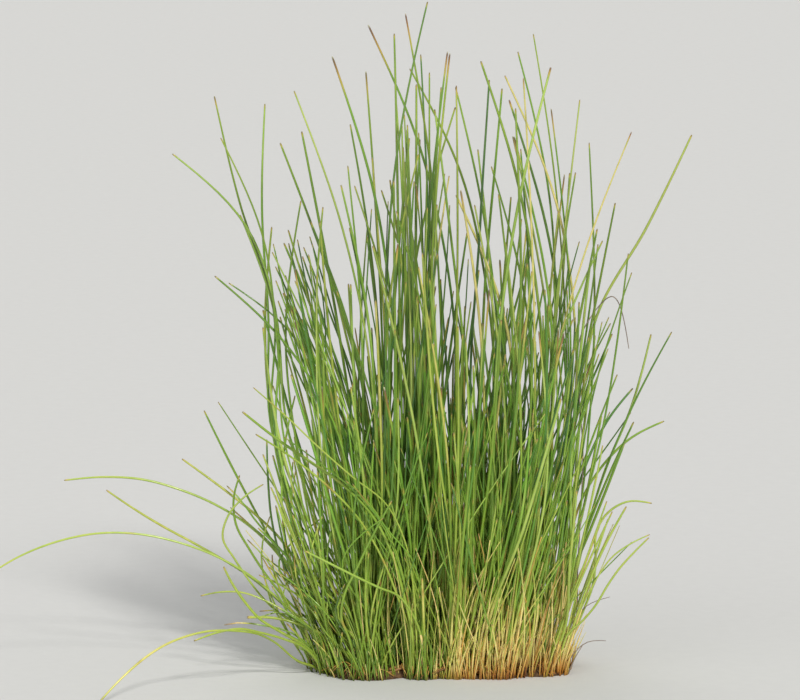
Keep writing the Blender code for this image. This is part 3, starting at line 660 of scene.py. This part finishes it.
def growFill(bundle, own, near, rng, count, crossing):
    across = own[0][0][0]
    tall = fillForm["tallFeet"][0] < across < fillForm["tallFeet"][1]
    short = fillForm["shortFeet"][0] < across < fillForm["shortFeet"][1]
    for number in range(count):
        first, second = rng.choice(own), rng.choice(near)
        share = rng.uniform(0.15, 0.85)
        reach = rng.uniform(*fillForm["tallReach" if tall else "shortReach" if short else "reach"])
        path = even(first, reach, 7) * share + even(second, reach, 7) * (1 - share)
        lean = rng.gauss(0, fillForm["lean"])
        if abs(path[0, 0]) > fillForm["inward"]:
            lean = -math.copysign(lean, path[0, 0])
        path[:, 0] += (path[:, 2] - path[0, 2]) * lean
        growCulm(bundle, path, rng, rng.uniform(*fillForm["radius"]), paleness(path[0], rng) * 0.9, 0,
                 deadReach(path, rng, fillForm["witheredShare"]))
    for number in range(crossing):
        first, second = rng.choice(own), rng.choice(near)
        base = (first[0] + (second[0] - first[0]) * rng.uniform(0, 0.5)) * (1, 1, 0)
        middle = (first[len(first) // 2] + second[len(second) // 2]) / 2
        aside = rng.gauss(0, fillForm["crossingLean"])
        if abs(base[0]) > fillForm["inward"]:
            aside = -math.copysign(aside, base[0])
        lean = (middle - base) / middle[2] + [aside, rng.gauss(0, 0.08), 0]
        tall = rng.uniform(*fillForm["crossingTall"])
        bow = np.array([rng.gauss(0, 0.05), rng.gauss(0, 0.03), 0])
        path = np.array([base + (lean + bow * (1 - share)) * tall * share
                         for share in (0.06, 0.3, 0.55, 0.8, 1)])
        growCulm(bundle, path, rng, rng.uniform(*fillForm["crossingRadius"]), rng.uniform(0.15, 1), 0,
                 deadReach(path, rng, fillForm["witheredShare"]))


# Short culms that lean far out, low at the left of the clump.
lowForm = {
    "from": -0.014,
    "each": 10,
    "lean": (0.15, 0.90),
    "tall": (0.008, 0.042),
    "radius": (0.00014, 0.00025),
    "rimFrom": -0.023,  # those at the rim lean out more
    "rimLean": 0.35,
    "off": 0.0026,  # how far from the tuft's foot they stand
    "reach": 0.019,  # none leans farther out than this
}


def growLow(bundle, foot, rng):
    for number in range(lowForm["each"]):
        turn, off = rng.uniform(0, 2 * math.pi), lowForm["off"] * math.sqrt(rng.random())
        base = foot * (1, 1, 0) + off * np.array([math.cos(turn), math.sin(turn), 0])
        out = rng.uniform(*lowForm["lean"]) + (lowForm["rimLean"] if foot[0] < lowForm["rimFrom"] else 0)
        lean = np.array([-out, rng.gauss(-0.05, 0.22), 1])
        tall = min(rng.uniform(*lowForm["tall"]), lowForm["reach"] / out)
        bow = np.array([rng.gauss(0.02, 0.09), rng.gauss(0, 0.06), 0])
        points = [base + lean * tall * 0.3, base + (lean - bow) * tall * 0.7, base + (lean + bow) * tall]
        growCulm(bundle, np.array(points), rng, rng.uniform(*lowForm["radius"]), paleness(base, rng))


# Long culms close together: some fan out to the left, a few stand tall in the middle, a few lean
# right. Each row takes the tufts with their feet in a range across.
fans = [
    {"feet": (-0.024, 0.000), "each": 2, "across": (-0.0395, -0.0300), "up": (0.076, 0.098), "bow": 0.26},
    {"feet": (-0.014, -0.001), "each": 1, "across": (-0.0100, -0.0035), "up": (0.104, 0.127), "bow": 0.08},
    {"feet": (0.010, 0.026), "each": 1, "across": (0.0335, 0.0400), "up": (0.066, 0.080), "bow": 0.30},
]


def growFan(bundle, foot, rng, form):
    for number in range(form["each"]):
        base = foot * (1, 1, 0) + [rng.gauss(0, 0.0012), rng.gauss(0, 0.0012), 0]
        across, deep = rng.uniform(*form["across"]), foot[1] * rng.uniform(0.8, 1.5)
        tip = np.array([across, deep, rng.uniform(*form["up"])])
        share = np.linspace(0.12, 1, 6)[:, None]
        bow = 1 - form["bow"] * rng.uniform(0.4, 1.4) * (1 - share)
        path = base + (tip - base) * share * np.concatenate([bow, bow, np.ones((6, 1))], axis=1)
        growCulm(bundle, path, rng, culmForm["radius"] * rng.uniform(0.75, 1), paleness(base, rng), 0,
                 deadReach(path, rng, 0.15))  # about one in seven is withered


# The lowest culms at the left leave the foot slanting outwards. Each row has the culm's tip, across and
# up as seen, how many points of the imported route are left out, and those that take their place.
lowStarts = [
    ((-0.0775, -0.0066), 4, [(-0.0290, -0.0085, 0.0010), (-0.0332, -0.0120, 0.0033),
                             (-0.0389, -0.0180, 0.0090)]),
    ((-0.0500, 0.0234), 4, [(-0.0275, -0.0085, 0.0010), (-0.0316, -0.0115, 0.0067),
                            (-0.0368, -0.0138, 0.0102)]),
    ((-0.0566, 0.0070), 5, [(-0.0280, -0.0095, 0.0010), (-0.0316, -0.0135, 0.0065),
                            (-0.0364, -0.0175, 0.0095), (-0.0416, -0.0210, 0.0116)]),
]


def started(route):  # the route with its own start, if it has one
    seen = seenFromFront(route[-1])
    for tip, skipped, start in lowStarts:
        if sameTip(seen, tip):
            return np.concatenate([start, route[skipped:]])
    return route


# The low spray at the left: thin culms close together, each by its places across and up.
spray = {
    "radius": (0.00015, 0.00024),
    "routes": [  # depth at the foot and at the tip, then the places from foot to tip
        (-0.006, -0.009, [(-0.0261, 0.0007), (-0.0316, 0.0141), (-0.0350, 0.0223), (-0.0368, 0.0311),
                          (-0.0382, 0.0368)]),
        (-0.004, -0.005, [(-0.0252, 0.0016), (-0.0270, 0.0077), (-0.0298, 0.0157), (-0.0323, 0.0207),
                          (-0.0348, 0.0282), (-0.0350, 0.0352), (-0.0339, 0.0450)]),
        (-0.003, -0.002, [(-0.0314, 0.0002), (-0.0350, 0.0066), (-0.0375, 0.0118), (-0.0400, 0.0175),
                          (-0.0416, 0.0230), (-0.0416, 0.0273), (-0.0398, 0.0345)]),
        (-0.007, -0.012, [(-0.0305, 0.0000), (-0.0330, 0.0061), (-0.0361, 0.0134), (-0.0393, 0.0189)]),
        (0.0, 0.002, [(-0.0255, 0.0030), (-0.0291, 0.0125), (-0.0330, 0.0207), (-0.0375, 0.0268),
                      (-0.0427, 0.0327), (-0.0473, 0.0389), (-0.0498, 0.0414)]),
        (0.002, 0.005, [(-0.0261, 0.0030), (-0.0277, 0.0077), (-0.0309, 0.0157), (-0.0350, 0.0223),
                        (-0.0400, 0.0282), (-0.0450, 0.0327), (-0.0491, 0.0364)]),
        (-0.002, -0.006, [(-0.0266, 0.0018), (-0.0330, 0.0141), (-0.0375, 0.0198), (-0.0407, 0.0248),
                          (-0.0450, 0.0293)]),
        (-0.008, -0.014, [(-0.0286, 0.0007), (-0.0330, 0.0093), (-0.0361, 0.0157), (-0.0389, 0.0209),
                          (-0.0414, 0.0255)]),
        (0.003, 0.006, [(-0.0289, 0.0014), (-0.0332, 0.0095), (-0.0375, 0.0170), (-0.0391, 0.0209),
                        (-0.0395, 0.0255)]),
        (-0.006, -0.008, [(-0.0273, 0.0011), (-0.0330, 0.0043), (-0.0375, 0.0109), (-0.0398, 0.0157),
                          (-0.0411, 0.0216)]),
        (-0.005, -0.009, [(-0.0280, 0.0018), (-0.0323, 0.0100), (-0.0350, 0.0111), (-0.0366, 0.0130),
                          (-0.0405, 0.0118), (-0.0450, 0.0118)]),
        (0.001, 0.003, [(-0.0270, 0.0014), (-0.0316, 0.0064), (-0.0352, 0.0105), (-0.0393, 0.0127),
                        (-0.0425, 0.0125)]),
        (-0.009, -0.014, [(-0.0280, 0.0009), (-0.0316, 0.0059), (-0.0359, 0.0086), (-0.0411, 0.0098),
                          (-0.0464, 0.0105), (-0.0502, 0.0100)]),
        (-0.01, -0.013, [(-0.0268, 0.0009), (-0.0302, 0.0086), (-0.0325, 0.0155), (-0.0339, 0.0218),
                         (-0.0341, 0.0273)]),
        (-0.011, -0.014, [(-0.0243, 0.0009), (-0.0270, 0.0105), (-0.0300, 0.0189), (-0.0318, 0.0245)]),
        (0.004, 0.008, [(-0.0259, 0.0014), (-0.0302, 0.0064), (-0.0343, 0.0141), (-0.0366, 0.0207),
                        (-0.0373, 0.0245)]),
        (-0.009, -0.012, [(-0.0275, 0.0007), (-0.0309, 0.0041), (-0.0336, 0.0077), (-0.0361, 0.0105)]),
        (-0.008, -0.01, [(-0.0239, 0.0009), (-0.0259, 0.0064), (-0.0293, 0.0127), (-0.0330, 0.0177),
                         (-0.0352, 0.0193)]),
    ],
}


def growSpray(bundle, rng):
    tilt = math.radians(cameraSet["elevation"])
    for near, far, places in spray["routes"]:
        depths = np.linspace(near, far, len(places))
        path = np.array([(across, deep, max((up - deep * math.sin(tilt)) / math.cos(tilt), 0.0004))
                         for (across, up), deep in zip(places, depths)])
        growCulm(bundle, path, rng, rng.uniform(*spray["radius"]), rng.uniform(0.3, 1), 0,
                 rng.choice((0, 0, 0.004, 0.008)))


def growStraws(bundle, routes, rng, few, many):  # few where the feet are green, many where golden
    foot = np.mean([route[0] for route in routes], axis=0)
    zone = strawZone(foot[0])
    for number in range(int(rng.uniform(0.7, 1.3) * (few + (many - few) * zone))):
        turn, off = rng.uniform(0, 2 * math.pi), fillForm["strawOff"] * math.sqrt(rng.random())
        base = foot * (1, 1, 0) + off * np.array([math.cos(turn), math.sin(turn), 0])
        base[0] = min(max(base[0], fillForm["strawRim"][0]), fillForm["strawRim"][1])
        near = rng.choice(routes)
        lean = (near[1] - near[0]) / max(near[1][2] - near[0][2], 1e-4)
        tall = rng.uniform(*fillForm["strawTall"])
        side = np.array([rng.gauss(-base[0] * 2, 0.10), rng.gauss(0, 0.12), 0])
        bend = np.array([rng.gauss(0, 0.10), rng.gauss(0, 0.10), 0])
        points = [base, base + (lean + side) * tall * 0.5, base + (lean + side + bend) * tall]
        path = smoothPath(points, 0.0026)
        t = np.linspace(0, 1, len(path))
        radii = rng.uniform(*fillForm["strawRadius"]) * (1 - 0.4 * t)
        straw = rng.uniform(*rng.choice(fillForm["strawTones"])) * (0.55 + 0.45 * zone)
        straw = straw + 0.2 * zone * np.clip(1 - path[:, 2] / 0.005, 0, 1)
        bundle.addTube(path, radii, 6, ridge=0.12, straw=straw, tip=np.clip((t - 0.7) * 3, 0, 1),
                       withered=rng.uniform(0, 0.6))


# The crown: a lumpy mat of rhizomes, ringed and covered with old stem bases and fine roots, all
# cut off at the ground.
crownForm = {
    "seed": 5,
    "centre": (0.001, 0),
    "matShare": 0.95,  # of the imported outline
    "matTall": 0.0019,
    "lumps": 0.0008,
    "lumpScale": 420,
    "bases": 1000,
    "basesAtEdge": 0.50,
    "baseTall": (0.0020, 0.0120),
    "baseRadius": (0.00011, 0.00021),
    "runners": 26,
    "runnerRadius": (0.00026, 0.00040),
    "roots": 110,
    "rootRadius": (0.00008, 0.00013),
}


def edgeOf(node):  # how far the crown's rim is from its centre, by direction
    spots = np.array([vertex.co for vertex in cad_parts[node].data.vertices])
    flat = spots[np.abs(spots[:, 2]) < 1e-6][:, :2] - crownForm["centre"]
    turns, reach = np.arctan2(flat[:, 1], flat[:, 0]), np.hypot(flat[:, 0], flat[:, 1])
    order = np.argsort(turns)[reach[np.argsort(turns)] > 0.01]
    return turns[order], reach[order]


def onCrown(turn, share):  # a place on the crown, share 1 being its rim
    turns, reach = crownEdge
    far = np.interp(turn, turns, reach, period=2 * math.pi) * share
    return np.array([crownForm["centre"][0] + far * math.cos(turn),
                     crownForm["centre"][1] + far * math.sin(turn), 0])


def makeMat(material):
    around, rings = 120, 20
    points = []
    for ring in range(1, rings + 1):
        share = ring / rings
        for step in range(around):
            spot = onCrown(step * 2 * math.pi / around - math.pi, share * crownForm["matShare"])
            where = (spot[0] * crownForm["lumpScale"], spot[1] * crownForm["lumpScale"], 0.5)
            high = crownForm["matTall"] + noise.fractal(where, 1, 2, 4) * crownForm["lumps"]
            spot[2] = max(high * (1 - share**8), 0.0003) if ring < rings else 0
            points.append(spot)
    top, under = len(points), len(points) + 1
    points += [onCrown(0, 0) + [0, 0, crownForm["matTall"]], onCrown(0, 0)]
    faces = []
    for step in range(around):
        following = (step + 1) % around
        faces.append((step, following, top))
        for ring in range(rings - 1):
            inner, outer = ring * around, (ring + 1) * around
            faces.append((outer + step, outer + following, inner + following, inner + step))
        last = (rings - 1) * around
        faces.append((last + following, last + step, under))
    mesh = bpy.data.meshes.new("crownMat")
    mesh.from_pydata([tuple(point) for point in points], [], faces)
    mesh.polygons.foreach_set("use_smooth", [True] * len(mesh.polygons))
    mesh.materials.append(material)
    mesh.update()
    mat = bpy.data.objects.new("crownMat", mesh)
    bpy.context.scene.collection.objects.link(mat)
    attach(mat, "root")
    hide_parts("crown")


def growBases(bundle, rng):
    grown = [route for routes in clump.values() for route in routes]
    feet = np.array([route[0] for route in grown])
    leans = np.array([(route[1] - route[0]) / max(route[1][2] - route[0][2], 1e-4) for route in grown])
    for number in range(crownForm["bases"]):
        atEdge = rng.random() < crownForm["basesAtEdge"]
        share = rng.uniform(0.91, 0.995) if atEdge else 0.93 * math.sqrt(rng.random())
        base = onCrown(rng.uniform(-math.pi, math.pi), share)
        nearest = np.argmin(np.hypot(feet[:, 0] - base[0], feet[:, 1] - base[1]))
        lean = leans[nearest] * (0.7, 0.7, 1) + [rng.gauss(0, 0.15), rng.gauss(0, 0.15), 0]
        tall = rng.uniform(*crownForm["baseTall"])
        path = smoothPath([base, base + lean * (0.4, 0.4, 0.5) * tall, base + lean * tall], 0.0012)
        t = np.linspace(0, 1, len(path))
        zone = strawZone(base[0])
        straw = rng.choice((0, 0.01, 0.02, 0.04, 0.06, 0.4)) * (1 - zone) + rng.uniform(0.25, 0.8) * zone
        radii = rng.uniform(*crownForm["baseRadius"]) * (1 - 0.75 * t**1.5)
        bundle.addTube(path, radii, 6, ridge=0.08, shade=rng.uniform(0.1, 0.7), straw=straw)


def growRunners(bundle, rng):
    for number in range(crownForm["runners"]):
        turn = rng.uniform(-math.pi, math.pi)
        sweep = rng.uniform(0.2, 0.8) * rng.choice((-1, 1))
        shares = [rng.uniform(0.3, 0.8), rng.uniform(0.4, 0.85), rng.uniform(0.3, 0.85)]
        points = [onCrown(turn + sweep * step / 2, share) for step, share in enumerate(shares)]
        for point, high in zip(points, (0.0007, rng.uniform(0.0016, 0.0026), 0.0008)):
            point[2] = high
        path = smoothPath(points, 0.0012)
        knots = 1 + 0.22 * (np.arange(len(path)) % 4 == 0)  # a scale at each node
        bundle.addTube(path, rng.uniform(*crownForm["runnerRadius"]) * knots, 8,
                       straw=rng.uniform(0.78, 0.97))


def growRoots(bundle, rng):
    for number in range(crownForm["roots"]):
        turn = rng.uniform(-math.pi, math.pi)
        inner, outer = onCrown(turn, rng.uniform(0.7, 0.9)), onCrown(turn + rng.gauss(0, 0.12), 0.985)
        outer = outer + [0, 0, rng.uniform(0.0003, 0.0016)]
        middle = (inner + outer) / 2 + [rng.gauss(0, 0.0006), rng.gauss(0, 0.0006),
                                        rng.uniform(0.0015, 0.003)]
        path = smoothPath([inner + [0, 0, 0.001], middle, outer], 0.0012)
        bundle.addTube(path, rng.uniform(*crownForm["rootRadius"]) * np.ones(len(path)), 5,
                       straw=rng.uniform(0.7, 0.95))


# Withered threads among the culms, by their points from foot to end.
threads = {
    "radius": 0.00013,
    "curled": [(0.0270, -0.009, 0), (0.0293, -0.010, 0.0048), (0.0322, -0.0105, 0.0074),
               (0.0365, -0.0105, 0.0078)],
    "fallen": [(0.0280, -0.0095, 0), (0.0297, -0.010, 0.0042), (0.0312, -0.0105, 0.0066)],
    "bent": [(0.0245, -0.004, 0), (0.0285, -0.005, 0.0100), (0.0322, -0.006, 0.0150),
             (0.0375, -0.0065, 0.0172)],
}


def growThreads(bundle, rng):
    for name in ("curled", "fallen", "bent"):
        path = swayed(smoothPath(threads[name], 0.0015), rng)
        t = np.linspace(0, 1, len(path))
        bundle.addTube(path, threads["radius"] * (1.4 - 0.8 * t), 6)


def pieceName(node):
    words = node.split("_")
    return words[0] + "".join(word.capitalize() for word in words[1:])


placeCamera()
placeLights()
makeFloor()
culmMaterial = makeCulmSkin()
crownMaterial = makeCrownSkin()
witheredMaterial = makeWitheredSkin()

clump = {node: readCulms(node) for node in sorted(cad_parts) if node != "crown"}
print("read", sum(len(routes) for routes in clump.values()), "culms")

crownEdge = edgeOf("crown")
makeMat(crownMaterial)
rng = random.Random(crownForm["seed"])
litter = Bundle()
growBases(litter, rng)
growRunners(litter, rng)
growRoots(litter, rng)
litter.build("oldStemBases", culmMaterial)
loose = Bundle()
growThreads(loose, rng)
loose.build("witheredThreads", witheredMaterial)
print("crown made")

regular = {node: routes for node, routes in clump.items() if node[:5] == "tuft_"}
for node, routes in clump.items():
    rng = random.Random(node)
    bundle = Bundle()
    grown = [started(route) for route in routes]
    tints = random.Random(node + " tint")
    dead = "dead" in node
    share = culmForm["witheredShare"] if node in regular else 0
    part = 1 if node in regular else culmForm["aside"]
    for route in grown:
        seen = seenFromFront(route[-1])
        farLeft = node == "low_left_tuft" and seen[0] < -culmForm["freshBeyond"]
        light = farLeft or node in culmForm["light"]
        yellow = culmForm["lightYellow"] if light else 0
        if tints.random() < culmForm["yellowShare"] and seen[1] < culmForm["freshAbove"]:
            yellow = tints.uniform(*culmForm["yellowness"])
        if any(sameTip(seen, spot) for spot in culmForm["goldenTips"]):
            yellow = culmForm["golden"]
        thick = culmForm["radius"] * (1 + rng.gauss(0, culmForm["radiusSpread"]))
        thick = threads["radius"] if dead else thick
        shade = culmForm["lightShade"] if light else paleness(route[0], rng)
        growCulm(bundle, route, rng, thick, shade, yellow, deadReach(route, rng, share),
                 culmForm["spacing"] * part, part)
        growSheath(bundle, route, rng)
    if node in regular:
        foot = grown[0][0]
        near = [route for others in regular.values() for route in others
                if np.hypot(*(others[0][0] - foot)[:2]) < fillForm["nearTufts"]]
        count = fillForm["culmsEach" if foot[0] > fillForm["rimFrom"] else "culmsAtRim"]
        crossing = fillForm["crossingEach"][int(abs(foot[1]) > fillForm["outerFrom"])]
        growFill(bundle, grown, near, rng, count, crossing)
        growStraws(bundle, grown, rng, *fillForm["strawsEach"])
        if foot[0] < lowForm["from"]:
            growLow(bundle, foot, rng)
        for form in fans:
            if form["feet"][0] < foot[0] < form["feet"][1]:
                growFan(bundle, foot, rng, form)
    elif len(grown) > 1:
        if node == "low_left_tuft":
            growSpray(bundle, rng)
        count = fillForm["culmsAside"][int(grown[0][0][0] >= 0)]
        growFill(bundle, grown, grown, rng, count, 0)
        growStraws(bundle, grown, rng, *fillForm["strawsAside"])
    piece = bundle.build(pieceName(node), witheredMaterial if dead else culmMaterial)
    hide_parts(node)
print("culms made")
